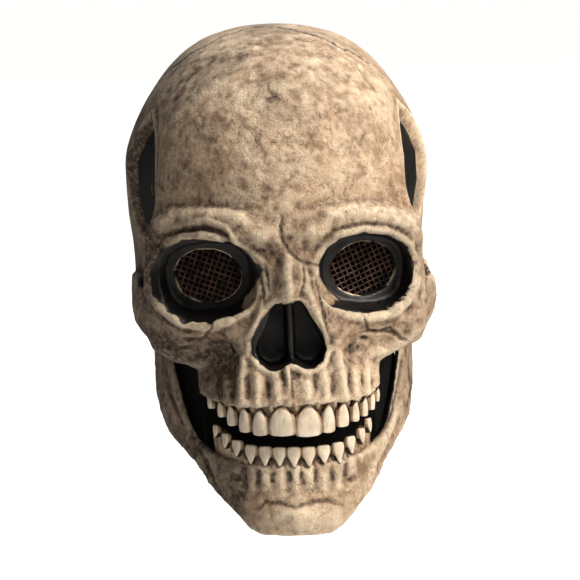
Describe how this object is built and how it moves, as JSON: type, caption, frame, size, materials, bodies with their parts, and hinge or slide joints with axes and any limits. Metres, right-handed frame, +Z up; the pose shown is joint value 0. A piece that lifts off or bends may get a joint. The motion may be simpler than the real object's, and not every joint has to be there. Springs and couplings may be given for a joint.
{
  "type": "full-head skull mask with a hinged lower jaw",
  "caption": "Full-head skull mask: hollow bone-coloured shell with netted eye holes, nose opening and tooth rows, and a lower jaw that opens on side hinges.",
  "frame": {"origin": "inside of the crown, in the middle plane, where the wearer's head carries the mask", "axes": "+Z up, the face towards -Y, +X towards the wearer's left"},
  "size_m": [0.1776, 0.2381, 0.281],
  "materials": {
    "bone": "matte painted latex, beige with brown stains",
    "jaw_bone": "matte painted latex, beige with brown stains",
    "tooth": "satin painted latex, ivory",
    "cloth": "black cloth",
    "screen": "black net",
    "pin": "black"
  },
  "bodies": {
    "skull": {"skull_shell": "bone", "upper_teeth": "tooth", "mouth_cloth": "cloth", "eye_screen_left": "screen", "eye_screen_right": "screen", "hinge_pin_left": "pin", "hinge_pin_right": "pin"},
    "jaw": {"lower_jaw": "jaw_bone", "lower_teeth": "tooth"}
  },
  "joints": [
    {"name": "jaw_hinge", "type": "hinge", "parent": "skull", "child": "jaw", "pos_m": [0, -0.006, -0.15], "axis": [1, 0, 0], "range_deg": [-3, 15], "stiffness_Nm_per_rad": 0.4, "springref_deg": -4.58, "deforming": ["mouth_cloth"]}
  ]
}
